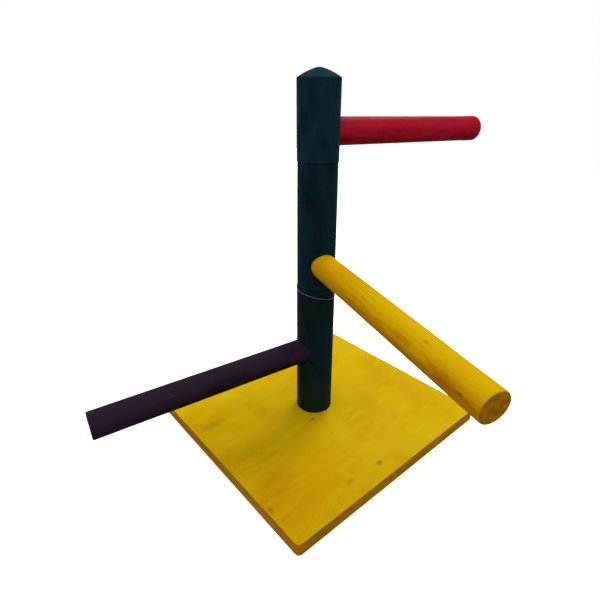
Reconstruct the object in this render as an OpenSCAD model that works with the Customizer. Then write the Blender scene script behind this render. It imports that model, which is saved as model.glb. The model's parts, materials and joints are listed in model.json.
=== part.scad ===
// Free-standing training dummy: a round post of three stacked sections on a square board,
// one round arm in each section. A steel rod through the post holds the stack together.
// The middle and head sections turn on the rod. All sizes are in millimetres.
// The origin is on the rod's axis, at the board's underside.

/* [Base board] */
// Length of the board along X
board_x = 526; // [400:5:640]
// Width of the board along Y
board_y = 502; // [400:5:640]
// Thickness of the board
board_t = 27; // [26:1:40]
// Radius of the board's upright corners
corner_r = 8; // [2:1:20]
// Distance of the post behind the board's middle
post_setback = 5; // [0:1:40]
// How far the post stands from the board's middle along +X
post_side = 1.2; // [0:0.1:5]

/* [Post sections] */
// Diameter of the lower section
lower_d = 78.5; // [70:0.5:100]
// Height of the lower section
lower_h = 300; // [220:5:400]
// Diameter of the middle section
middle_d = 77; // [70:0.5:100]
// Height of the middle section
middle_h = 243; // [150:1:320]
// Diameter of the head section
head_d = 77.5; // [70:0.5:100]
// Height of the head section, up to the cap
head_h = 130; // [125:1:200]
// Open gap between two sections
section_gap = 0.6; // [0.6:0.1:1.5]
// Radius of the eased edge round each section's ends
edge_r = 0.5; // [0.4:0.1:2]

/* [Cap] */
// Height of the cap's upright rim
cap_rim_h = 7.5; // [5:0.5:15]
// Height of the cap's crown
crown_h = 14.5; // [10:0.5:40]
// Shape of the crown: 1 is a straight cone, 2 is a round dome
crown_power = 1.5; // [1:0.1:2]
// Radius of the cap's shoulder
shoulder_r = 1.5; // [1:0.5:4]
// Length of the cap's spigot
spigot_h = 14; // [8:1:16]

/* [Arms] */
// Diameter of the three arms
arm_d = 51; // [40:1:60]
// Distance from the rod's axis to the floor of an arm's socket
arm_seat = 12; // [11.5:0.5:18]
// Glue gap between an arm and its socket
glue_gap = 0.1; // [0.05:0.05:0.3]
// Radius of the eased edge at an arm's free end
arm_edge_r = 1.5; // [0.5:0.5:5]

/* [Lower arm] */
// Height of the arm's axis above the section's foot
lower_arm_z = 153; // [90:1:200]
// Distance from the rod's axis to the arm's free end
lower_reach = 464; // [300:1:600]
// Direction of the arm, counter-clockwise from +X
lower_turn = 171.5; // [0:0.5:360]
// Droop of the arm below level
lower_droop = 1.5; // [0:0.5:5]

/* [Middle arm] */
// Height of the arm's axis above the section's foot
middle_arm_z = 52; // [50:1:90]
// Distance from the rod's axis to the arm's free end
middle_reach = 468; // [300:1:600]
// Direction of the arm, counter-clockwise from +X
middle_turn = -105.5; // [-180:0.5:180]
// Droop of the arm below level
middle_droop = 3.5; // [0:0.5:5]

/* [Head arm] */
// Height of the arm's axis above the section's foot
head_arm_z = 50; // [50:1:60]
// Distance from the rod's axis to the arm's free end
head_reach = 416; // [300:1:600]
// Direction of the arm, counter-clockwise from +X
head_turn = -8; // [-180:0.5:180]
// Droop of the arm below level
head_droop = 1.5; // [0:0.5:5]

/* [Rod, nuts and washers] */
// Diameter of the rod
rod_d = 12; // [8:0.5:14.5]
// Clearance round the rod, on the diameter, in wood
rod_hole_clear = 1; // [0.6:0.2:2]
// Width of a nut across its flats
nut_af = 19; // [13:0.5:19]
// Height of a nut
nut_h = 10; // [6:0.5:10]
// Height of the lock nut's round collar
collar_h = 3; // [2:0.5:4]
// Diameter of a small washer
washer_d = 24; // [22:0.2:29]
// Thickness of a steel washer
washer_t = 2.5; // [1.5:0.5:2.5]
// Diameter of the large washer under the board
wide_washer_d = 36; // [30:1:38]
// Thickness of the plug that closes the board's pocket
plug_t = 4; // [3:0.5:6]
// Gap between the nut and the plug
plug_gap = 0.5; // [0.5:0.5:2]
// Clearance of round parts in their pockets, on the diameter
pocket_clear = 0.2; // [0.1:0.1:0.4]

/* [Bushes and thrust washers] */
// Outer diameter of a bush
bush_d = 18; // [16:0.5:19]
// Length of a bush
bush_h = 25; // [15:1:26]
// Running clearance between rod and bush, on the diameter
running_clear = 0.1; // [0.04:0.02:0.18]
// Diameter of a thrust washer
thrust_d = 36; // [28:1:44]
// Thickness of a thrust washer
thrust_t = 1.5; // [1:0.5:3]
// How far a thrust washer stands out of its recess
thrust_proud = 0.3; // [0.1:0.1:0.3]

/* [Screws] */
// Diameter of a screw's shank
screw_d = 5; // [4:0.5:6]
// Diameter of a screw's head
screw_head_d = 9.5; // [8:0.5:11]
// Clearance round a screw, on the diameter
screw_clear = 0.2; // [0.1:0.1:0.4]
// Depth of an arm screw in its arm
screw_bite = 35; // [20:1:60]
// Distance of each arm screw from the rod's axis
screw_side = 14; // [13.5:0.5:16]
// Least thickness of the wooden pellet over an arm screw
pellet_t = 3; // [2:0.5:4]
// How far a pellet lies under the section's surface
pellet_inset = 0.3; // [0.1:0.1:0.5]
// Depth of a base screw in the post
base_screw_bite = 43; // [25:1:60]
// Radius of the circle of base screws
base_screw_circle = 26; // [24:0.5:28]

/* [Loose ring] */
// Diameter of the ring's wire
wire_d = 0.7; // [0.6:0.1:2]
// Slant of the ring from level
ring_tilt = 13; // [5:0.5:20]
// Direction of the ring's highest point, counter-clockwise from +X
ring_turn = 147; // [0:1:360]
// Height of the ring's middle below the lower section's top
ring_drop = 14.5; // [12:0.5:60]
// Clearance between the ring and the post
ring_clear = 0.1; // [0.1:0.1:0.5]

/* [Hidden] */
$fn = 96;

// Heights of the faces in the stack
lower_z0 = board_t;
lower_z1 = lower_z0 + lower_h;
middle_z0 = lower_z1 + section_gap;
middle_z1 = middle_z0 + middle_h;
head_z0 = middle_z1 + section_gap;
head_z1 = head_z0 + head_h;
shoulder_z = head_z1 + cap_rim_h;

// Fastening of the rod in the board
pocket_d = wide_washer_d + 2;
nut_room = plug_t + plug_gap;
pocket_h = nut_room + nut_h + washer_t;
rod_z0 = nut_room;
rod_hole_d = rod_d + rod_hole_clear;
foot_pocket_d = washer_d + 4;
foot_pocket_h = washer_t + nut_h + 3;

// Pocket for the lock nut under the cap
nut_clear = 0.3;
cap_pocket_d = washer_d + 10;
cap_pocket_h = spigot_h + collar_h + nut_h + washer_t + nut_clear + 10;
cap_floor_z = head_z1 - cap_pocket_h;
lock_washer_z = cap_floor_z + nut_clear;
lock_nut_z = lock_washer_z + washer_t;
rod_z1 = lock_nut_z + nut_h + collar_h + 3;
crown_rings = 8;

// Recess that holds a thrust washer
recess_h = thrust_t - thrust_proud;
shaft_d = rod_d + running_clear;

// Screws: taper of the head, and the point
head_taper = (screw_head_d - screw_d) / 2;
point_h = 6;
drive_w = 1.2;
base_screw_len = board_t + base_screw_bite;

paint_yellow = [0.84, 0.66, 0.06];
paint_teal = [0.05, 0.13, 0.16];
paint_red = [0.55, 0.06, 0.14];
paint_purple = [0.12, 0.08, 0.12];
bare_wood = [0.78, 0.62, 0.42];
steel = [0.62, 0.63, 0.65];
nylon = [0.90, 0.90, 0.86];

// Distance from the rod's axis to the face of an arm screw's head, on a post of diameter d
function head_seat(d) = sqrt(pow(d / 2, 2) - pow(screw_side + screw_head_d / 2, 2)) - pellet_t;

// Round bar from z = z0 to z = z1 with eased edges of radius e at the ends named
module eased_bar(d, z0, z1, e, ease_foot, ease_top) {
    foot = ease_foot ? e : 0;
    top = ease_top ? e : 0;
    rotate_extrude() {
        translate([0, z0]) square([d / 2 - e, z1 - z0]);
        translate([0, z0 + foot]) square([d / 2, z1 - z0 - foot - top]);
        if (ease_foot) translate([d / 2 - e, z0 + e]) circle(r = e, $fn = 48);
        if (ease_top) translate([d / 2 - e, z1 - e]) circle(r = e, $fn = 48);
    }
}

// Places its children on an arm's axis: +Z runs out along the arm
module on_arm(z, turn, droop) {
    translate([0, 0, z]) rotate([0, 0, turn]) rotate([0, 90 + droop, 0]) children();
}

// Countersunk wood screw, head face at z = 0, point towards +Z
module wood_screw(length) {
    difference() {
        union() {
            cylinder(d1 = screw_head_d, d2 = screw_d, h = head_taper);
            cylinder(d = screw_d, h = length - point_h);
            translate([0, 0, length - point_h]) cylinder(d1 = screw_d, d2 = 0.8, h = point_h);
        }
        for (a = [0, 90]) {
            rotate([0, 0, a]) translate([-screw_head_d / 4, -drive_w / 2, -1])
                cube([screw_head_d / 2, drive_w, 3]);
        }
    }
}

// Hole for a wood screw, with a straight way in of length access before the head
module screw_hole(length, access) {
    grown = screw_head_d + screw_clear;
    cylinder(d1 = grown, d2 = screw_d + screw_clear, h = head_taper);
    cylinder(d = screw_d + screw_clear, h = length + 1);
    translate([0, 0, -access]) cylinder(d = grown, h = access);
}

// The two screws of one arm, or the two holes for them
module arm_screw_pair(d, as_hole) {
    length = head_seat(d) + arm_seat + screw_bite;
    for (side = [-1, 1]) {
        translate([0, side * screw_side, -head_seat(d)]) {
            if (as_hole) screw_hole(length, 12);
            else wood_screw(length);
        }
    }
}

// The two pellets that fill the screw holes of one arm, in a section of diameter d
module arm_pellet_pair(d, z, turn, droop) {
    intersection() {
        on_arm(z, turn, droop) for (side = [-1, 1]) {
            translate([0, side * screw_side, -d / 2])
                cylinder(d = screw_head_d, h = d / 2 - head_seat(d));
        }
        translate([0, 0, z - arm_d]) cylinder(d = d - 2 * pellet_inset, h = 2 * arm_d);
    }
}

// Everything that is cut out of a section of diameter d for its arm
module arm_cut(d) {
    translate([0, 0, arm_seat]) cylinder(d = arm_d + 2 * glue_gap, h = d);
    arm_screw_pair(d, true);
}

module arm_bar(d, reach) {
    difference() {
        eased_bar(arm_d, arm_seat, reach, arm_edge_r, false, true);
        arm_screw_pair(d, true);
    }
}

// Ring of outer diameter d and height h round a hole
module disc(d, hole, z, h) {
    translate([0, 0, z]) difference() {
        cylinder(d = d, h = h);
        translate([0, 0, -1]) cylinder(d = hole, h = h + 2);
    }
}

// Hexagon nut with chamfered corners
module nut(z) {
    corner = nut_af / cos(30);
    bevel = (corner - nut_af) / 2;
    translate([0, 0, z]) difference() {
        intersection() {
            cylinder(d = corner, h = nut_h, $fn = 6);
            union() {
                cylinder(d1 = nut_af, d2 = corner + 0.1, h = bevel);
                translate([0, 0, bevel]) cylinder(d = corner + 0.1, h = nut_h - 2 * bevel);
                translate([0, 0, nut_h - bevel]) cylinder(d1 = corner + 0.1, d2 = nut_af, h = bevel);
            }
        }
        translate([0, 0, -1]) cylinder(d = shaft_d, h = nut_h + 2);
    }
}

module bush(z) {
    disc(bush_d, shaft_d, z, bush_h);
}

module at_base_screws() {
    for (a = [45 : 90 : 315]) {
        rotate([0, 0, a]) translate([base_screw_circle, 0, 0]) children();
    }
}

module board_outline() {
    inner_x = board_x - 2 * corner_r;
    inner_y = board_y - 2 * corner_r;
    translate([-post_side, -post_setback]) {
        square([board_x, inner_y], center = true);
        square([inner_x, board_y], center = true);
        for (x = [-1, 1], y = [-1, 1]) {
            translate([x * inner_x / 2, y * inner_y / 2]) circle(r = corner_r);
        }
    }
}

module base_board() {
    color(paint_yellow) difference() {
        linear_extrude(board_t) board_outline();
        translate([0, 0, -1]) cylinder(d = rod_hole_d, h = board_t + 2);
        translate([0, 0, -1]) cylinder(d = pocket_d, h = pocket_h + 1);
        at_base_screws() screw_hole(base_screw_len, 1);
    }
}

module base_plug() {
    color(bare_wood) cylinder(d = pocket_d - pocket_clear, h = plug_t);
}

module base_screws() {
    color(steel) at_base_screws() wood_screw(base_screw_len);
}

module center_rod() {
    color(steel) eased_bar(rod_d, rod_z0, rod_z1, 1, true, true);
}

module base_washer() {
    color(steel) disc(wide_washer_d, rod_hole_d, pocket_h - washer_t, washer_t);
}

module base_nut() {
    color(steel) nut(nut_room);
}

module foot_washer() {
    color(steel) disc(washer_d, rod_hole_d, lower_z0, washer_t);
}

module foot_nut() {
    color(steel) nut(lower_z0 + washer_t);
}

module lower_section() {
    color(paint_teal) difference() {
        eased_bar(lower_d, lower_z0, lower_z1, edge_r, false, true);
        translate([0, 0, lower_z0 - 1]) cylinder(d = rod_hole_d, h = lower_h + 2);
        translate([0, 0, lower_z0 - 1]) cylinder(d = foot_pocket_d, h = foot_pocket_h + 1);
        translate([0, 0, lower_z1 - recess_h]) cylinder(d = thrust_d + pocket_clear, h = recess_h + 1);
        at_base_screws() screw_hole(base_screw_len, 1);
        on_arm(lower_z0 + lower_arm_z, lower_turn, lower_droop) arm_cut(lower_d);
    }
}

module lower_arm() {
    color(paint_purple) on_arm(lower_z0 + lower_arm_z, lower_turn, lower_droop)
        arm_bar(lower_d, lower_reach);
}

module lower_arm_screws() {
    color(steel) on_arm(lower_z0 + lower_arm_z, lower_turn, lower_droop)
        arm_screw_pair(lower_d, false);
}

module lower_arm_pellets() {
    color(paint_teal)
        arm_pellet_pair(lower_d, lower_z0 + lower_arm_z, lower_turn, lower_droop);
}

module lower_thrust_washer() {
    color(nylon) disc(thrust_d, rod_hole_d, lower_z1 - recess_h, thrust_t);
}

// A ring a little wider than the post, which hangs jammed at a slant
module loose_ring() {
    ring_r = lower_d / 2 / cos(ring_tilt) + wire_d / 2 + ring_clear;
    color(nylon) translate([0, 0, lower_z1 - ring_drop]) rotate([0, 0, ring_turn])
        rotate([0, -ring_tilt, 0]) rotate_extrude() translate([ring_r, 0])
        circle(d = wire_d, $fn = 24);
}

module middle_section() {
    color(paint_teal) difference() {
        eased_bar(middle_d, middle_z0, middle_z1, edge_r, true, true);
        translate([0, 0, middle_z0 - 1]) cylinder(d = rod_hole_d, h = middle_h + 2);
        translate([0, 0, middle_z0 - 1]) cylinder(d = bush_d + running_clear, h = bush_h + 1);
        translate([0, 0, middle_z1 - recess_h - bush_h])
            cylinder(d = bush_d + running_clear, h = bush_h + 1);
        translate([0, 0, middle_z1 - recess_h]) cylinder(d = thrust_d + pocket_clear, h = recess_h + 1);
        on_arm(middle_z0 + middle_arm_z, middle_turn, middle_droop) arm_cut(middle_d);
    }
}

module middle_arm() {
    color(paint_yellow) on_arm(middle_z0 + middle_arm_z, middle_turn, middle_droop)
        arm_bar(middle_d, middle_reach);
}

module middle_arm_screws() {
    color(steel) on_arm(middle_z0 + middle_arm_z, middle_turn, middle_droop)
        arm_screw_pair(middle_d, false);
}

module middle_arm_pellets() {
    color(paint_teal)
        arm_pellet_pair(middle_d, middle_z0 + middle_arm_z, middle_turn, middle_droop);
}

module middle_lower_bush() {
    color(nylon) bush(middle_z0);
}

module middle_upper_bush() {
    color(nylon) bush(middle_z1 - recess_h - bush_h);
}

module middle_thrust_washer() {
    color(nylon) disc(thrust_d, rod_hole_d, middle_z1 - recess_h, thrust_t);
}

module head_section() {
    color(paint_teal) difference() {
        eased_bar(head_d, head_z0, head_z1, edge_r, true, false);
        translate([0, 0, head_z0 - 1]) cylinder(d = rod_hole_d, h = head_h);
        translate([0, 0, head_z0 - 1]) cylinder(d = bush_d + running_clear, h = bush_h + 1);
        translate([0, 0, cap_floor_z - bush_h]) cylinder(d = bush_d + running_clear, h = bush_h + 1);
        translate([0, 0, cap_floor_z]) cylinder(d = cap_pocket_d, h = cap_pocket_h + 1);
        on_arm(head_z0 + head_arm_z, head_turn, head_droop) arm_cut(head_d);
    }
}

module head_arm() {
    color(paint_red) on_arm(head_z0 + head_arm_z, head_turn, head_droop)
        arm_bar(head_d, head_reach);
}

module head_arm_screws() {
    color(steel) on_arm(head_z0 + head_arm_z, head_turn, head_droop)
        arm_screw_pair(head_d, false);
}

module head_arm_pellets() {
    color(paint_teal)
        arm_pellet_pair(head_d, head_z0 + head_arm_z, head_turn, head_droop);
}

module head_lower_bush() {
    color(nylon) bush(head_z0);
}

module head_upper_bush() {
    color(nylon) bush(cap_floor_z - bush_h);
}

module head_washer() {
    color(steel) disc(washer_d, rod_hole_d, lock_washer_z, washer_t);
}

module head_nut() {
    color(steel) {
        nut(lock_nut_z);
        disc(nut_af - 1, shaft_d, lock_nut_z + nut_h, collar_h);
    }
}

// Radius and height of the crown, from the shoulder in to the tip
function crown_point(share) = [
    (head_d / 2 - shoulder_r / 2) * share,
    shoulder_z + crown_h * (1 - pow(share, crown_power))
];

module head_cap() {
    rim_r = head_d / 2;
    color(paint_teal) rotate_extrude() {
        translate([0, head_z1 - spigot_h]) square([(cap_pocket_d - pocket_clear) / 2, spigot_h + 1]);
        translate([0, head_z1]) square([rim_r, cap_rim_h - shoulder_r]);
        translate([0, head_z1]) square([rim_r - shoulder_r, cap_rim_h]);
        translate([rim_r - shoulder_r, shoulder_z - shoulder_r]) circle(r = shoulder_r, $fn = 48);
        polygon(concat(
            [for (i = [crown_rings : -1 : 0]) crown_point(i / crown_rings)],
            [[0, shoulder_z - 1], [rim_r - shoulder_r, shoulder_z - 1]]
        ));
    }
}

base_board();
base_plug();
base_screws();
center_rod();
base_washer();
base_nut();
foot_washer();
foot_nut();
lower_section();
lower_arm();
lower_arm_screws();
lower_arm_pellets();
lower_thrust_washer();
loose_ring();
middle_section();
middle_arm();
middle_arm_screws();
middle_arm_pellets();
middle_lower_bush();
middle_upper_bush();
middle_thrust_washer();
head_section();
head_arm();
head_arm_screws();
head_arm_pellets();
head_lower_bush();
head_upper_bush();
head_washer();
head_nut();
head_cap();
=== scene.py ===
import json
import math

import bmesh
import bpy
from mathutils import Matrix, Vector, noise


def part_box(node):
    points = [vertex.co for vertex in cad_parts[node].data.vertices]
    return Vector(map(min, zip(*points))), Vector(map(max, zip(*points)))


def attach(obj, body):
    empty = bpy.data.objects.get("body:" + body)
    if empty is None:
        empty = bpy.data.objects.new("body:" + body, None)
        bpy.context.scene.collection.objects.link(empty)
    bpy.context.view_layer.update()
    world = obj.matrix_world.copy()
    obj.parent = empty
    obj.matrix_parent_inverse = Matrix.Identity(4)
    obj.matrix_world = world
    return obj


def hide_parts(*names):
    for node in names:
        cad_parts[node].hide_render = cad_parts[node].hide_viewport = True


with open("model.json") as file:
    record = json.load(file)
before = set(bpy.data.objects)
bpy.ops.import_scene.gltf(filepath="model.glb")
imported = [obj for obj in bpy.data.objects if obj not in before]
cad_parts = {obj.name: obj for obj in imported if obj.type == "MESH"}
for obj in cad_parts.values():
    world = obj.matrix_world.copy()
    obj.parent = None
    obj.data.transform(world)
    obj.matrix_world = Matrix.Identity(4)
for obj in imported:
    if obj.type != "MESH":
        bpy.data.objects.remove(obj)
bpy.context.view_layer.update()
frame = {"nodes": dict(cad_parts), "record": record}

MM = 0.001
UP = Vector((0.0, 0.0, 1.0))

# ---------------------------------------------------------------- sizes read from the frame
BOARD_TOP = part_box("base_board")[1].z


# ---------------------------------------------------------------- camera
def make_camera():
    """Eye height, distance and heading of the photograph, seen from the post's foot."""
    eye_turn = math.radians(227.4)
    eye_reach = 0.8393
    eye_above_board = 0.6619
    heading = math.radians(49.62)
    pitch = math.radians(25.38)
    focal_share = 0.7407

    camera = bpy.data.cameras.new("camera")
    camera.sensor_width = 36.0
    camera.lens = camera.sensor_width * focal_share
    camera.clip_start = 0.01
    camera.clip_end = 50.0
    holder = bpy.data.objects.new("camera", camera)
    bpy.context.collection.objects.link(holder)
    holder.location = (
        eye_reach * math.cos(eye_turn),
        eye_reach * math.sin(eye_turn),
        BOARD_TOP + eye_above_board,
    )
    holder.rotation_euler = (math.pi / 2 - pitch, 0.0, heading - math.pi / 2)
    bpy.context.scene.camera = holder


make_camera()


# ---------------------------------------------------------------- node helpers
class Shader:
    """A small writer for one material's node tree."""

    def __init__(self, name):
        self.material = bpy.data.materials.new(name)
        self.material.use_nodes = True
        self.tree = self.material.node_tree
        self.tree.nodes.clear()
        self.out = self.tree.nodes.new("ShaderNodeOutputMaterial")
        self.bsdf = self.tree.nodes.new("ShaderNodeBsdfPrincipled")
        self.tree.links.new(self.bsdf.outputs["BSDF"], self.out.inputs["Surface"])

    def put(self, socket, value):
        if isinstance(value, bpy.types.NodeSocket):
            self.tree.links.new(value, socket)
        elif isinstance(value, (tuple, list)) and len(value) == 3 and len(socket.default_value) == 4:
            socket.default_value = (*value, 1.0)
        else:
            socket.default_value = value

    def set(self, **values):
        for name, value in values.items():
            self.put(self.bsdf.inputs[name.replace("_", " ")], value)

    def place(self, scale=(1.0, 1.0, 1.0)):
        """Object coordinates, scaled."""
        coords = self.tree.nodes.new("ShaderNodeTexCoord")
        mapping = self.tree.nodes.new("ShaderNodeMapping")
        mapping.inputs["Scale"].default_value = scale
        self.tree.links.new(coords.outputs["Object"], mapping.inputs["Vector"])
        return mapping.outputs["Vector"]

    def noise(self, vector, scale, detail=3.0, rough=0.5, warp=0.0):
        node = self.tree.nodes.new("ShaderNodeTexNoise")
        self.put(node.inputs["Vector"], vector)
        node.inputs["Scale"].default_value = scale
        node.inputs["Detail"].default_value = detail
        node.inputs["Roughness"].default_value = rough
        node.inputs["Distortion"].default_value = warp
        return node.outputs["Fac"]

    def cells(self, vector, scale):
        node = self.tree.nodes.new("ShaderNodeTexVoronoi")
        self.put(node.inputs["Vector"], vector)
        node.inputs["Scale"].default_value = scale
        return node.outputs["Distance"]

    def fit(self, value, low, high, to_low=0.0, to_high=1.0):
        node = self.tree.nodes.new("ShaderNodeMapRange")
        node.interpolation_type = "SMOOTHSTEP"
        self.put(node.inputs["Value"], value)
        node.inputs["From Min"].default_value = low
        node.inputs["From Max"].default_value = high
        node.inputs["To Min"].default_value = to_low
        node.inputs["To Max"].default_value = to_high
        return node.outputs["Result"]

    def math(self, kind, a, b=0.0):
        node = self.tree.nodes.new("ShaderNodeMath")
        node.operation = kind
        self.put(node.inputs[0], a)
        self.put(node.inputs[1], b)
        return node.outputs["Value"]

    def mix(self, share, a, b):
        node = self.tree.nodes.new("ShaderNodeMix")
        node.data_type = "RGBA"
        self.put(node.inputs["Factor"], share)
        colours = [s for s in node.inputs if s.type == "RGBA"]
        self.put(colours[0], a)
        self.put(colours[1], b)
        return next(s for s in node.outputs if s.type == "RGBA")

    def axis(self, vector, which):
        node = self.tree.nodes.new("ShaderNodeSeparateXYZ")
        self.put(node.inputs["Vector"], vector)
        return node.outputs[which]

    def facing(self, which):
        """How far the surface's own normal points along one of the object's axes."""
        coords = self.tree.nodes.new("ShaderNodeTexCoord")
        return self.axis(coords.outputs["Normal"], which)

    def spot(self, centre, inner, outer, stretch):
        """1 within inner of a point, falling to 0 at outer, with a ragged rim."""
        coords = self.tree.nodes.new("ShaderNodeTexCoord")
        length = self.length_of(self.away_from(coords.outputs["Object"], centre), stretch)
        rim = self.noise(self.place(), 420.0, 2.0)
        wobble = self.math("MULTIPLY", self.math("SUBTRACT", rim, 0.5), (outer + inner) * 0.7)
        reach = self.math("ADD", length, wobble)
        return self.fit(reach, inner, outer, 1.0, 0.0)

    def length_of(self, vector, stretch):
        """Length of a vector after stretching it along each axis."""
        size = self.tree.nodes.new("ShaderNodeVectorMath")
        size.operation = "MULTIPLY"
        self.tree.links.new(vector, size.inputs[0])
        size.inputs[1].default_value = stretch
        length = self.tree.nodes.new("ShaderNodeVectorMath")
        length.operation = "LENGTH"
        self.tree.links.new(size.outputs["Vector"], length.inputs[0])
        return length.outputs["Value"]

    def away_from(self, vector, point):
        gap = self.tree.nodes.new("ShaderNodeVectorMath")
        gap.operation = "SUBTRACT"
        self.tree.links.new(vector, gap.inputs[0])
        gap.inputs[1].default_value = point
        return gap.outputs["Vector"]

    def ring_round_foot(self, radius, half_width):
        """1 on a thin ring round the post's foot, where filler was wiped into the joint."""
        coords = self.place()
        wobble = self.math("SUBTRACT", self.noise(coords, 90.0, 2.0), 0.5)
        wobble = self.math("MULTIPLY", wobble, 2.2 * MM)
        ragged = self.math("ADD", self.length_of(coords, (1.0, 1.0, 0.0)), wobble)
        gap = self.math("SUBTRACT", ragged, radius)
        return self.fit(self.math("ABSOLUTE", gap), 0.4 * half_width, half_width, 1.0, 0.0)

    def end_rings(self):
        """Growth rings round a pith a little off the axis, as an end-grain pattern."""
        coords = self.place()
        pith = (6.0 * MM, -4.0 * MM, 0.0)
        ring_rate = 2200.0
        wobble = self.math("MULTIPLY", self.noise(coords, 55.0, 3.0), 6.0 * MM)
        radius = self.math("ADD", self.length_of(self.away_from(coords, pith), (1.0, 1.0, 0.0)), wobble)
        wave = self.math("SINE", self.math("MULTIPLY", radius, ring_rate))
        patch = self.noise(coords, 90.0, 3.0)
        both = self.math("ADD", self.math("MULTIPLY", wave, 0.045), patch)
        return self.fit(both, 0.36, 0.62)

    def bump(self, height, distance, strength=1.0, under=None):
        node = self.tree.nodes.new("ShaderNodeBump")
        node.inputs["Strength"].default_value = strength
        node.inputs["Distance"].default_value = distance
        self.put(node.inputs["Height"], height)
        if under is not None:
            self.put(node.inputs["Normal"], under)
        return node.outputs["Normal"]


def painted(
    name, body, deep, light, streak, sheen, rough=0.5,
    marks=(), end_tone=None, underside_shade=None, top_shade=None, upright=None
):
    """Brushed enamel on wood: the grain and the brush run along the object's Z axis.

    body, deep and light are the paint's three tones. On an arm, crest is a painted shade tone on top, belly
    two painted shade tones underneath with where they are full and gone, and end_tone the two tones of the
    end grain. upright is the tone of upright faces; on the cap it keeps the crown's painted light off the
    rim.
    marks are knots, worn places and spots of painted light and painted shade.
    """
    s = Shader(name)
    along = s.place(scale=(1.0, 1.0, 0.045))
    grain = s.noise(along, 150.0, 5.0, 0.62, 0.6)
    strokes = s.noise(s.place(scale=(1.0, 1.0, 0.02)), 420.0, 2.0, 0.5)
    blotch = s.noise(s.place(scale=(1.0, 1.0, 0.45)), 26.0, 4.0, 0.55, 0.4)
    dabs = s.noise(s.place(scale=(1.0, 1.0, 0.3)), 75.0, 3.0, 0.6)

    tone = s.mix(s.fit(blotch, 0.42, 0.72), body, deep)
    tone = s.mix(s.fit(dabs, 0.52, 0.75, 0.0, 0.55), tone, light)
    tone = s.mix(s.fit(grain, 0.50, 0.74, 0.0, streak), tone, deep)
    # Upright faces take their own tone; on the cap this keeps the crown's painted light off the rim.
    if upright is not None:
        tone = s.mix(s.fit(s.facing("Z"), 0.30, 0.75, 1.0, 0.0), tone, upright)
    # Painted shade: a darker tone on faces that look up along the object's Y axis.
    if top_shade is not None:
        tone = s.mix(s.fit(s.facing("Y"), 0.40, 0.90), tone, top_shade)
    # Painted shade: darker tones on faces that look down, with a scalloped edge.
    if underside_shade is not None:
        near, far, full, none = underside_shade
        scallops = s.noise(s.place(scale=(1.0, 1.0, 0.22)), 62.0, 3.0, 0.62, 0.5)
        lift = s.math("MULTIPLY", s.math("SUBTRACT", scallops, 0.5), 1.9)
        share = s.fit(s.math("ADD", s.facing("Y"), lift), full, none, 1.0, 0.0)
        tone = s.mix(share, tone, s.mix(s.fit(grain, 0.40, 0.60), near, far))
    if end_tone is not None:
        rings = s.end_rings()
        end = s.math("ABSOLUTE", s.facing("Z"))
        tone = s.mix(s.fit(end, 0.80, 0.95), tone, s.mix(rings, end_tone[0], end_tone[1]))
    # Marks are knots and worn places, and also spots of painted light and painted shade.
    for centre, inner, outer, stretch, colour in marks:
        tone = s.mix(s.spot(centre, inner, outer, stretch), tone, colour)
    s.set(Base_Color=tone, Specular_IOR_Level=sheen)
    gloss = s.fit(s.noise(s.place(), 60.0, 3.0), 0.3, 0.7, rough - 0.07, rough + 0.09)
    s.set(Roughness=gloss)
    low = s.bump(blotch, 0.0012, 0.5)
    mid = s.bump(grain, 0.0004, 0.7, low)
    s.set(Normal=s.bump(strokes, 0.00015, 0.8, mid))
    return s.material


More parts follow.
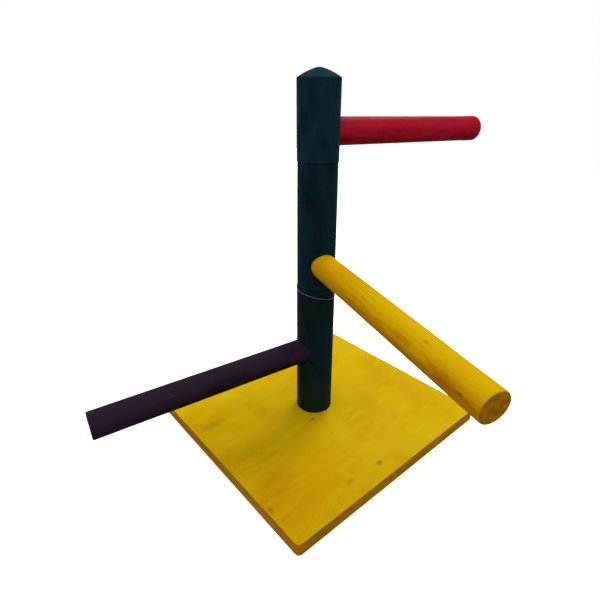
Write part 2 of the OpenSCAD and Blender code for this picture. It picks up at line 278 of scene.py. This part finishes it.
# ---------------------------------------------------------------- materials
def board_paint():
    """Yellow enamel on a flat board; brush strokes run along X, scuffs and knocks on top, painted shade on
    the sides and in patches across the front.
    """
    s = Shader("board_yellow")
    body = (0.505, 0.332, 0.0022)
    deep = (0.455, 0.270, 0.0006)
    light = (0.545, 0.392, 0.0060)
    # The side tone is painted shade: upright sides darker and more orange than the top.
    side = (0.470, 0.205, 0.0004)
    strokes = s.noise(s.place(scale=(0.06, 1.0, 1.0)), 260.0, 4.0, 0.6, 0.3)
    cloud = s.noise(s.place(), 7.5, 4.0, 0.55, 0.5)
    dabs = s.noise(s.place(scale=(0.35, 1.0, 1.0)), 38.0, 3.0, 0.6, 0.3)
    specks = s.cells(s.place(), 85.0)
    tone = s.mix(s.fit(cloud, 0.42, 0.74), body, deep)
    tone = s.mix(s.fit(dabs, 0.48, 0.78, 0.0, 0.6), tone, light)
    tone = s.mix(s.fit(strokes, 0.52, 0.80, 0.0, 0.35), tone, deep)
    foot = s.ring_round_foot(0.0400, 0.0013)
    tone = s.mix(s.math("MULTIPLY", foot, s.fit(dabs, 0.30, 0.50, 0.35, 0.85)), tone, (0.33, 0.27, 0.11))
    grime = s.math("MULTIPLY", s.fit(specks, 0.02, 0.06, 1.0, 0.0), s.fit(cloud, 0.50, 0.62))
    tone = s.mix(s.math("MULTIPLY", grime, 0.55), tone, (0.16, 0.09, 0.01))

    # Painted shade: darker, more orange patches across the front and along the post's shadow.
    painted_shade_patches = (
        ((-0.222, -0.150, BOARD_TOP), 0.0200, 0.1700, (1.2, 0.8, 1.0), (0.415, 0.216, 0.0001)),
        ((-0.110, -0.185, BOARD_TOP), 0.0200, 0.1300, (1.2, 0.8, 1.0), (0.448, 0.254, 0.0001)),
    )
    for centre, inner, outer, stretch, colour in painted_shade_patches:
        patch = s.math("MULTIPLY", s.spot(centre, inner, outer, stretch), s.fit(dabs, 0.35, 0.60, 1.0, 0.55))
        tone = s.mix(patch, tone, colour)

    # Painted shade on the upright sides: the side tone, streaked with ply layers and patches.
    upright = s.fit(s.math("ABSOLUTE", s.facing("Z")), 0.35, 0.85, 1.0, 0.0)
    plies = s.noise(s.place(scale=(0.05, 0.05, 1.0)), 240.0, 3.0, 0.6, 0.4)
    patchy = s.noise(s.place(scale=(1.0, 1.0, 2.0)), 30.0, 3.0, 0.6)
    wall = s.mix(s.fit(plies, 0.40, 0.66, 0.0, 0.8), side, (0.24, 0.110, 0.0015))
    wall = s.mix(s.fit(patchy, 0.50, 0.72, 0.0, 0.7), wall, (0.40, 0.165, 0.004))
    tone = s.mix(upright, tone, wall)

    dark = (0.14, 0.065, 0.008)
    dull = (0.30, 0.155, 0.003)
    faint = (0.40, 0.225, 0.002)
    knocks = (
        ((-0.042, -0.043, BOARD_TOP), 0.0016, 0.0055, (0.7, 1.5, 1.0), dark),
        ((-0.028, -0.223, BOARD_TOP), 0.0015, 0.0080, (0.7, 0.9, 1.0), dull),
        ((-0.103, -0.218, BOARD_TOP), 0.0020, 0.0100, (0.5, 1.4, 1.0), faint),
        ((-0.256, -0.172, BOARD_TOP), 0.0012, 0.0070, (1.0, 0.7, 1.0), dull),
        ((-0.043, -0.104, BOARD_TOP), 0.0006, 0.0022, (1.0, 1.0, 1.0), dull),
        ((-0.222, 0.084, BOARD_TOP), 0.0020, 0.0240, (0.5, 1.3, 1.0), faint),
    )
    for centre, inner, outer, stretch, colour in knocks:
        tone = s.mix(s.spot(centre, inner, outer, stretch), tone, colour)
    s.set(Base_Color=tone, Specular_IOR_Level=0.01)
    s.set(Roughness=s.fit(s.noise(s.place(), 34.0, 4.0), 0.3, 0.7, 0.45, 0.65))
    low = s.bump(cloud, 0.0025, 0.35)
    mid = s.bump(strokes, 0.00035, 0.55, low)
    s.set(Normal=s.bump(s.math("SUBTRACT", 1.0, grime), 0.0004, 0.5, mid))
    return s.material


def steel():
    s = Shader("zinc_steel")
    colour = (0.58, 0.59, 0.61)
    dull = tuple(0.62 * c for c in colour)
    turned = s.noise(s.place(scale=(1.0, 1.0, 6.0)), 320.0, 3.0, 0.6)
    film = s.noise(s.place(), 140.0, 3.0)
    s.set(Base_Color=s.mix(s.fit(film, 0.45, 0.75, 0.0, 0.7), colour, dull))
    s.set(Metallic=1.0, Roughness=s.fit(turned, 0.3, 0.7, 0.26, 0.48))
    s.set(Normal=s.bump(turned, 0.00008, 0.5))
    return s.material


def nylon():
    s = Shader("nylon_white")
    cloud = s.noise(s.place(), 90.0, 3.0)
    s.set(Base_Color=s.mix(cloud, (0.80, 0.80, 0.74), (0.68, 0.67, 0.60)), Roughness=0.5)
    s.set(Normal=s.bump(s.noise(s.place(), 900.0, 2.0), 0.00005, 0.4))
    return s.material


def bare_wood():
    s = Shader("bare_wood")
    grain = s.noise(s.place(scale=(0.06, 1.0, 1.0)), 300.0, 5.0, 0.65, 0.8)
    tone = s.mix(s.fit(grain, 0.35, 0.68), (0.62, 0.43, 0.23), (0.40, 0.24, 0.11))
    s.set(Base_Color=tone, Roughness=0.68, Normal=s.bump(grain, 0.0003, 0.6))
    return s.material


def pale_wire():
    s = Shader("pale_wire")
    # The wire is dark in patches along its length.
    dark_patches = s.noise(s.place(), 260.0, 3.0)
    s.set(Base_Color=s.mix(s.fit(dark_patches, 0.38, 0.66), (0.30, 0.32, 0.30), (0.06, 0.07, 0.07)))
    s.set(Roughness=0.5, Specular_IOR_Level=0.2)
    return s.material


TEAL = dict(
    body=(0.0048, 0.0195, 0.0285), deep=(0.0030, 0.0105, 0.0150), light=(0.0080, 0.0300, 0.0400)
)
TEAL_LOW = dict(
    body=(0.0052, 0.0175, 0.0200), deep=(0.0034, 0.0095, 0.0095), light=(0.0085, 0.0250, 0.0260)
)
TEAL_HEAD = dict(
    body=(0.0056, 0.0270, 0.0420), deep=(0.0038, 0.0165, 0.0250), light=(0.0090, 0.0370, 0.0540)
)
# The cap's teal is lighter than the head's as painted light on the up-facing crown.
TEAL_CAP_LIT = dict(
    body=(0.0130, 0.0370, 0.0390), deep=(0.0090, 0.0260, 0.0280), light=(0.0170, 0.0480, 0.0510)
)
YELLOW = dict(body=(0.610, 0.342, 0.0010), deep=(0.530, 0.255, 0.0006), light=(0.620, 0.385, 0.0030))
RED = dict(body=(0.450, 0.0095, 0.0310), deep=(0.380, 0.0060, 0.0200), light=(0.460, 0.0170, 0.0400))
PURPLE = dict(
    body=(0.0220, 0.0135, 0.0250), deep=(0.0105, 0.0060, 0.0110), light=(0.0300, 0.0210, 0.0320)
)

LOOKS = {
    "yellow_board": board_paint(),
    "teal": painted("post_teal", streak=0.4, sheen=0.02, **TEAL),
    "teal_low": painted(
        "foot_teal", streak=0.4, sheen=0.02,
        # The mark is painted light: a warmer, greener tone round the post's foot stands in for yellow light
        # bounced off the board.
        marks=(((0.0, 0.0, BOARD_TOP), 0.040, 0.110, (1.0, 1.0, 1.0), (0.0088, 0.0185, 0.0105)),),
        **TEAL_LOW
    ),
    "teal_head": painted("head_teal", streak=0.4, sheen=0.02, **TEAL_HEAD),
    # The lighter teal is painted light on the crown; the upright rim takes the head's own darker teal.
    "teal_cap": painted(
        "cap_teal", rough=0.65, streak=0.3, sheen=0.0, upright=(0.0056, 0.0260, 0.0380), **TEAL_CAP_LIT
    ),
    "yellow": painted(
        # The top tone and the underside tones are painted shade: darker on top, orange-brown underneath.
        "arm_yellow", streak=0.35, sheen=0.004, top_shade=(0.510, 0.318, 0.0010),
        underside_shade=((0.560, 0.245, 0.0003), (0.480, 0.190, 0.0002), -0.05, 0.50),
        marks=(
            # Painted shade: the orange underside tone spreading round the arm near its root at the post.
            ((-0.0200, 0.0000, 0.045), 0.0150, 0.1100, (1.0, 1.0, 0.8), (0.560, 0.275, 0.0006)),
            ((-0.0110, 0.0230, 0.326), 0.0006, 0.0038, (1.0, 1.0, 0.5), (0.42, 0.205, 0.001)),
            ((-0.0254, 0.0040, 0.411), 0.0008, 0.0045, (1.0, 1.0, 0.6), (0.29, 0.115, 0.001)),
            ((-0.0254, -0.0010, 0.380), 0.0020, 0.0130, (1.0, 1.0, 0.5), (0.43, 0.170, 0.001)),
        ),
        end_tone=((0.450, 0.190, 0.0008), (0.330, 0.125, 0.0006)), **YELLOW
    ),
    "red": painted(
        # The top tone and the underside tones are painted shade: darker on top and darker again underneath.
        "arm_red", streak=0.3, sheen=0.01, top_shade=(0.265, 0.0050, 0.0150),
        underside_shade=((0.250, 0.0045, 0.0140), (0.200, 0.0035, 0.0110), -0.80, -0.15),
        end_tone=((0.26, 0.0055, 0.016), (0.17, 0.003, 0.009)), **RED
    ),
    "purple": painted(
        # The top tone and the underside tones are painted shade: darker on top, darker and browner
        # underneath.
        "arm_purple", streak=0.45, sheen=0.015, top_shade=(0.0165, 0.0105, 0.0175),
        underside_shade=((0.0125, 0.0062, 0.0052), (0.0095, 0.0048, 0.0040), -0.60, 0.05),
        end_tone=((0.016, 0.009, 0.016), (0.009, 0.005, 0.009)), **PURPLE
    ),
    "steel": steel(),
    "nylon": nylon(),
    "bare_wood": bare_wood(),
    "pale_wire": pale_wire(),
}


# ---------------------------------------------------------------- mesh helpers
def clean_copy(node):
    """The node's mesh with its split corners joined, as a new closed mesh."""
    bm = bmesh.new()
    bm.from_mesh(frame["nodes"][node].data)
    bmesh.ops.remove_doubles(bm, verts=bm.verts, dist=2e-6)
    mesh = bpy.data.meshes.new(node + "_copy")
    bm.to_mesh(mesh)
    bm.free()
    return mesh


def link(name, mesh):
    piece = bpy.data.objects.new(name, mesh)
    bpy.context.collection.objects.link(piece)
    return piece


def common_part(shell, node, place):
    """Replaces the shell's mesh by what it shares with a CAD node, in the shell's own frame."""
    tool = link(node + "_tool", clean_copy(node))
    shell.matrix_world = place
    bpy.context.view_layer.update()
    cut = shell.modifiers.new("cut", "BOOLEAN")
    cut.operation = "INTERSECT"
    cut.solver = "EXACT"
    cut.object = tool
    graph = bpy.context.evaluated_depsgraph_get()
    mesh = bpy.data.meshes.new_from_object(shell.evaluated_get(graph))
    shell.modifiers.clear()
    old = shell.data
    shell.data = mesh
    mesh.name = shell.name
    bpy.data.meshes.remove(old)
    bpy.data.objects.remove(tool)


def shade(piece, look, sharp=38.0):
    piece.data.materials.clear()
    piece.data.materials.append(LOOKS[look])
    for polygon in piece.data.polygons:
        polygon.material_index = 0
        polygon.use_smooth = True
    piece.data.set_sharp_from_angle(angle=math.radians(sharp))


def lathe(name, rings, around):
    """Closed mesh from rings of (height, radius), each of them a function of the turn."""
    bm = bmesh.new()
    loops = []
    for height, radius in rings:
        loop = []
        for k in range(around):
            turn = 2 * math.pi * k / around
            r = radius(turn)
            loop.append(bm.verts.new((r * math.cos(turn), r * math.sin(turn), height(turn))))
        loops.append(loop)
    for a, b in zip(loops, loops[1:]):
        for k in range(around):
            m = (k + 1) % around
            bm.faces.new((a[k], a[m], b[m], b[k]))
    bm.faces.new(list(reversed(loops[0])))
    bm.faces.new(loops[-1])
    mesh = bpy.data.meshes.new(name)
    bm.to_mesh(mesh)
    bm.free()
    return mesh


def hollow(seed, slow, fast, flats):
    """How far the hand-worked surface lies under the true cylinder, as a function of place."""

    def depth(turn, z):
        x, y = math.cos(turn), math.sin(turn)
        a = noise.noise(Vector((x * 0.9 + seed, y * 0.9, z * 7.0)))
        b = noise.noise(Vector((x * 3.2, y * 3.2 + seed, z * 11.0)))
        c = noise.noise(Vector((x * 5.0, y * 5.0, z * 70.0 + seed)))
        return slow * (0.5 + 0.5 * a) + flats * abs(b) + fast * (0.5 + 0.5 * c)

    return depth


def bar_rings(z0, z1, radius, depth, step, ease=0.0, cut_tilt=0.0):
    """Rings of a bar from z0 to z1, with a rounded rim of radius ease at z1 if ease is not 0."""
    rim_rings = 5 if ease else 0
    count = max(4, round((z1 - ease - z0) / step))
    rings = []
    for i in range(count + 1):
        z = z0 + (z1 - ease - z0) * i / count
        rings.append((lambda t, z=z: z, lambda t, z=z: radius - depth(t, z)))
    for i in range(1, rim_rings + 1):
        a = math.pi / 2 * i / rim_rings
        inset = ease * (1 - math.cos(a))
        z = z1 - ease + ease * math.sin(a)
        rings.append(
            (
                lambda t, z=z: z + cut_tilt * math.cos(t),
                lambda t, z=z, inset=inset: radius - inset - depth(t, z),
            )
        )
    return rings


def middle_of(points):
    return (Vector(map(max, zip(*points))) + Vector(map(min, zip(*points)))) / 2


def axis_of(node):
    """Frame of a round bar: +Z along it, away from the post, its zero on the rod's axis."""
    places = {tuple(round(c, 6) for c in v.co) for v in frame["nodes"][node].data.vertices}
    points = [Vector(p) for p in places]
    centre = sum(points, Vector()) / len(points)
    far = max(points, key=lambda p: Vector((p.x, p.y)).length)
    along = (far - centre).normalized()
    for _ in range(6):
        reach = max(p.dot(along) for p in points)
        rim = [p for p in points if p.dot(along) > reach - 4.0 * MM]
        start = min(p.dot(along) for p in points)
        root = [p for p in points if p.dot(along) < start + 2.0 * MM]
        along = (middle_of(rim) - middle_of(root)).normalized()
    start = min(p.dot(along) for p in points)
    reach = max(p.dot(along) for p in points)
    tip = middle_of([p for p in points if p.dot(along) > reach - 0.5 * MM])
    radius = max((p - tip - along * (p - tip).dot(along)).length for p in points)
    origin = tip - along * reach
    side = UP.cross(along).normalized()
    lift = along.cross(side)
    place = Matrix((side, lift, along)).transposed().to_4x4()
    place.translation = origin
    return place, start, reach, radius


# ---------------------------------------------------------------- pieces
def make_section(node, body, look, seed, narrowing=0.0):
    """A painted post section, a little uneven, and narrowing towards its top if asked."""
    low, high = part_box(node)
    radius = (high.x - low.x) / 2
    under = hollow(seed, slow=0.18 * MM, fast=0.05 * MM, flats=0.08 * MM)
    height = high.z - low.z

    def depth(turn, z):
        share = min(1.0, max(0.0, (z - low.z) / height))
        return under(turn, z) + narrowing * share * share

    over = 2 * MM
    rings = bar_rings(low.z - over, high.z + over, radius, depth, 3.0 * MM)
    piece = link(node + "_painted", lathe(node, rings, 128))
    common_part(piece, node, Matrix.Identity(4))
    shade(piece, look)
    finish_piece(piece, node, body)


def make_cap():
    """The turned cap: upright rim, rounded shoulder and a low crown with a blunt tip."""
    node = "head_cap"
    low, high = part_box(node)
    radius = (high.x - low.x) / 2
    under = hollow(9.0, slow=0.18 * MM, fast=0.06 * MM, flats=0.08 * MM)
    base_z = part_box("head_section")[1].z
    rim_z = base_z + 6.8 * MM
    crown = high.z - rim_z
    power = 1.5
    rings = []
    for z in (low.z - MM, base_z - MM, base_z + 0.5 * MM, base_z + 2 * MM, base_z + 5 * MM):
        rings.append((lambda t, z=z: z, lambda t, z=z: radius - under(t, z)))
    count = 22
    for i in range(count, 0, -1):
        share = i / count
        r = (radius - MM) * share
        z = rim_z + crown * (1 - share**power) - 0.25 * MM
        rings.append(
            (
                lambda t, z=z, r=r: z - 0.5 * under(t, 0.7 + r),
                lambda t, r=r: r,
            )
        )
    tip_z = high.z - 0.3 * MM
    rings.append((lambda t: tip_z, lambda t: 0.4 * MM))
    piece = link(node + "_painted", lathe(node, rings, 128))
    common_part(piece, node, Matrix.Identity(4))
    shade(piece, "teal_cap", 50.0)
    finish_piece(piece, node, "head_wing")


def make_arm(node, body, look, seed, slow, fast, flats, cut_tilt, waist=0.0):
    """A hand-worked bar: shallow hollows, a slightly slanted cut, and slimmer by waist if asked."""
    place, start, reach, radius = axis_of(node)
    under = hollow(seed, slow, fast, flats)
    head_length = 26.0 * MM
    taper_length = 10.0 * MM

    def depth(turn, z):
        share = min(1.0, max(0.0, (reach - head_length - z) / taper_length))
        return under(turn, z) + waist * share

    end = reach - cut_tilt - 0.05 * MM
    rings = bar_rings(start - 2 * MM, end, radius, depth, 2.5 * MM, 2.0 * MM, cut_tilt)
    piece = link(node + "_painted", lathe(node, rings, 112))
    common_part(piece, node, place)
    shade(piece, look)
    finish_piece(piece, node, body)


def finish_piece(piece, node, body):
    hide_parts(node)
    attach(piece, body)


def span(low, high, ease, step):
    """Grid lines from low to high, fine within ease of each end."""
    fine = [0.0, 0.3 * ease, 0.65 * ease, ease]
    count = round((high - low - 2 * ease) / step)
    inner = [low + ease + (high - low - 2 * ease) * i / count for i in range(1, count)]
    return [low + f for f in fine] + inner + [high - f for f in reversed(fine)]


def round_corner(x, y, centre, half, corner):
    """Moves a point of the square outline's corner on to an arc, ring by ring."""
    dx = abs(x - centre.x) - (half.x - corner)
    dy = abs(y - centre.y) - (half.y - corner)
    if dx <= 0 or dy <= 0:
        return x, y
    scale = max(dx, dy) / math.hypot(dx, dy)
    sx = math.copysign(1.0, x - centre.x)
    sy = math.copysign(1.0, y - centre.y)
    return (
        centre.x + sx * (half.x - corner + dx * scale),
        centre.y + sy * (half.y - corner + dy * scale),
    )


def make_board():
    node = "base_board"
    low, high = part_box(node)
    centre = (low + high) / 2
    half = (high - low) / 2
    ease = 1.2 * MM
    corner = 9.0 * MM
    xs = span(low.x, high.x, ease, 5.0 * MM)
    ys = span(low.y, high.y, ease, 5.0 * MM)
    zs = span(low.z, high.z, ease, 4.0 * MM)
    bm = bmesh.new()
    verts = {}

    def worn(x, y, z):
        """Eased, slightly uneven surface of the sawn board."""
        inset = min(half.x - abs(x - centre.x), half.y - abs(y - centre.y))
        drop = half.z - abs(z - centre.z)
        if inset < ease and drop < ease:
            a, b = ease - inset, ease - drop
            scale = max(a, b) / math.hypot(a, b)
            inset, drop = ease - a * scale, ease - b * scale
        x = centre.x + math.copysign(min(abs(x - centre.x), half.x - inset), x - centre.x)
        y = centre.y + math.copysign(min(abs(y - centre.y), half.y - inset), y - centre.y)
        z = centre.z + math.copysign(half.z - drop, z - centre.z)
        x, y = round_corner(x, y, centre, half, corner)
        rough = noise.noise(Vector((x * 60, y * 60, z * 25)))
        slow = noise.noise(Vector((x * 9, y * 9, 3.0)))
        wall = 0.25 * MM * (0.5 + 0.5 * rough) + 0.25 * MM * (0.5 + 0.5 * slow)
        side = max(0.0, 1.0 - max(0.0, inset - ease) / ease) if inset < 2 * ease else 0.0
        x -= math.copysign(wall * side, x - centre.x)
        y -= math.copysign(wall * side, y - centre.y)
        if z > centre.z:
            z -= 0.2 * MM * (0.5 + 0.5 * slow) + 0.04 * MM * (0.5 + 0.5 * rough)
        return x, y, z

    def vert(i, j, k):
        key = (i, j, k)
        if key not in verts:
            verts[key] = bm.verts.new(worn(xs[i], ys[j], zs[k]))
        return verts[key]

    nx, ny, nz = len(xs) - 1, len(ys) - 1, len(zs) - 1
    for i in range(nx):
        for j in range(ny):
            bm.faces.new([vert(i, j, nz), vert(i + 1, j, nz), vert(i + 1, j + 1, nz), vert(i, j + 1, nz)])
            bm.faces.new([vert(i, j, 0), vert(i, j + 1, 0), vert(i + 1, j + 1, 0), vert(i + 1, j, 0)])
    for i in range(nx):
        for k in range(nz):
            bm.faces.new([vert(i, 0, k), vert(i + 1, 0, k), vert(i + 1, 0, k + 1), vert(i, 0, k + 1)])
            bm.faces.new([vert(i, ny, k), vert(i, ny, k + 1), vert(i + 1, ny, k + 1), vert(i + 1, ny, k)])
    for j in range(ny):
        for k in range(nz):
            bm.faces.new([vert(0, j, k), vert(0, j, k + 1), vert(0, j + 1, k + 1), vert(0, j + 1, k)])
            bm.faces.new([vert(nx, j, k), vert(nx, j + 1, k), vert(nx, j + 1, k + 1), vert(nx, j, k + 1)])
    mesh = bpy.data.meshes.new(node)
    bm.to_mesh(mesh)
    bm.free()
    piece = link(node + "_painted", mesh)
    common_part(piece, node, Matrix.Identity(4))
    shade(piece, "yellow_board", 45.0)
    finish_piece(piece, node, "stand")


make_board()
make_section("lower_section", "stand", "teal_low", 2.0)
make_section("middle_section", "middle_wing", "teal", 5.0, narrowing=0.9 * MM)
make_section("head_section", "head_wing", "teal_head", 8.0)
make_cap()
make_arm("lower_arm", "stand", "purple", 11.0, 0.15 * MM, 0.10 * MM, 0.25 * MM, 0.3 * MM)
make_arm("middle_arm", "middle_wing", "yellow", 14.0, 0.35 * MM, 0.2 * MM, 0.6 * MM, 0.5 * MM)
make_arm("head_arm", "head_wing", "red", 17.0, 0.2 * MM, 0.08 * MM, 0.25 * MM, 0.2 * MM, 0.6 * MM)

for part in frame["record"]["subparts"]:
    if part["material_slot"] in ("steel", "nylon", "bare_wood", "pale_wire"):
        shade(frame["nodes"][part["node"]], part["material_slot"], 30.0)
PELLET_LOOKS = {"lower": "teal_low", "middle": "teal", "head": "teal_head"}
for section, look in PELLET_LOOKS.items():
    shade(frame["nodes"][section + "_arm_pellets"], look, 30.0)


# ---------------------------------------------------------------- floor and light
def backlit(piece):
    """Shown to the camera, and throws no light of its own on the object."""
    piece.visible_diffuse = False
    piece.visible_glossy = False


def make_floor():
    """A plain white floor inside a plain white surround."""
    s = Shader("floor_pale")
    cloud = s.noise(s.place(), 3.0, 3.0)
    s.set(Base_Color=s.mix(cloud, (0.88, 0.88, 0.88), (0.91, 0.91, 0.91)), Roughness=0.9)
    s.set(Specular_IOR_Level=0.0, Emission_Color=(1.0, 1.0, 1.0), Emission_Strength=0.45)
    size = 4.0
    corners = [(-size, -size, 0.0), (size, -size, 0.0), (size, size, 0.0), (-size, size, 0.0)]
    mesh = bpy.data.meshes.new("floor")
    mesh.from_pydata(corners, [], [(0, 1, 2, 3)])
    floor = link("floor", mesh)
    floor.location.z = -0.2 * MM
    floor.data.materials.append(s.material)
    backlit(floor)


def make_surround():
    s = Shader("surround_white")
    s.set(Base_Color=(0.0, 0.0, 0.0), Roughness=1.0, Specular_IOR_Level=0.0)
    s.set(Emission_Color=(1.0, 1.0, 1.0), Emission_Strength=1.0)
    bm = bmesh.new()
    bmesh.ops.create_icosphere(bm, subdivisions=4, radius=12.0)
    mesh = bpy.data.meshes.new("surround")
    bm.to_mesh(mesh)
    bm.free()
    surround = link("surround", mesh)
    surround.data.materials.append(s.material)
    surround.visible_shadow = False
    backlit(surround)


def aim(holder, turn, lift, reach):
    """Puts a lamp at a turn and lift from the post, looking at its lower middle."""
    a, e = math.radians(turn), math.radians(lift)
    away = Vector((math.cos(a) * math.cos(e), math.sin(a) * math.cos(e), math.sin(e)))
    holder.location = Vector((0, 0, 0.2)) + away * reach
    holder.rotation_euler = away.to_track_quat("Z", "Y").to_euler()


def lamp(name, kind, power, colour):
    light = bpy.data.lights.new(name, kind)
    light.energy = power
    light.color = colour
    holder = bpy.data.objects.new(name, light)
    bpy.context.collection.objects.link(holder)
    return holder


def make_light():
    """A soft window behind the board's right, a broad ceiling glow, and white surroundings."""
    world = bpy.data.worlds.new("studio")
    bpy.context.scene.world = world
    world.use_nodes = True
    backdrop = world.node_tree.nodes["Background"]
    backdrop.inputs["Color"].default_value = (1.0, 1.0, 1.0, 1.0)
    backdrop.inputs["Strength"].default_value = 0.42

    window = lamp("window", "AREA", 14.0, (1.0, 0.99, 0.97))
    window.data.size = 0.5
    aim(window, 25.0, 50.0, 1.75)
    ceiling = lamp("ceiling", "SUN", 2.16, (1.0, 1.0, 1.0))
    ceiling.data.angle = math.radians(75.0)
    aim(ceiling, 200.0, 82.0, 2.0)


make_floor()
make_surround()
make_light()
bpy.context.scene.view_settings.view_transform = "Standard"
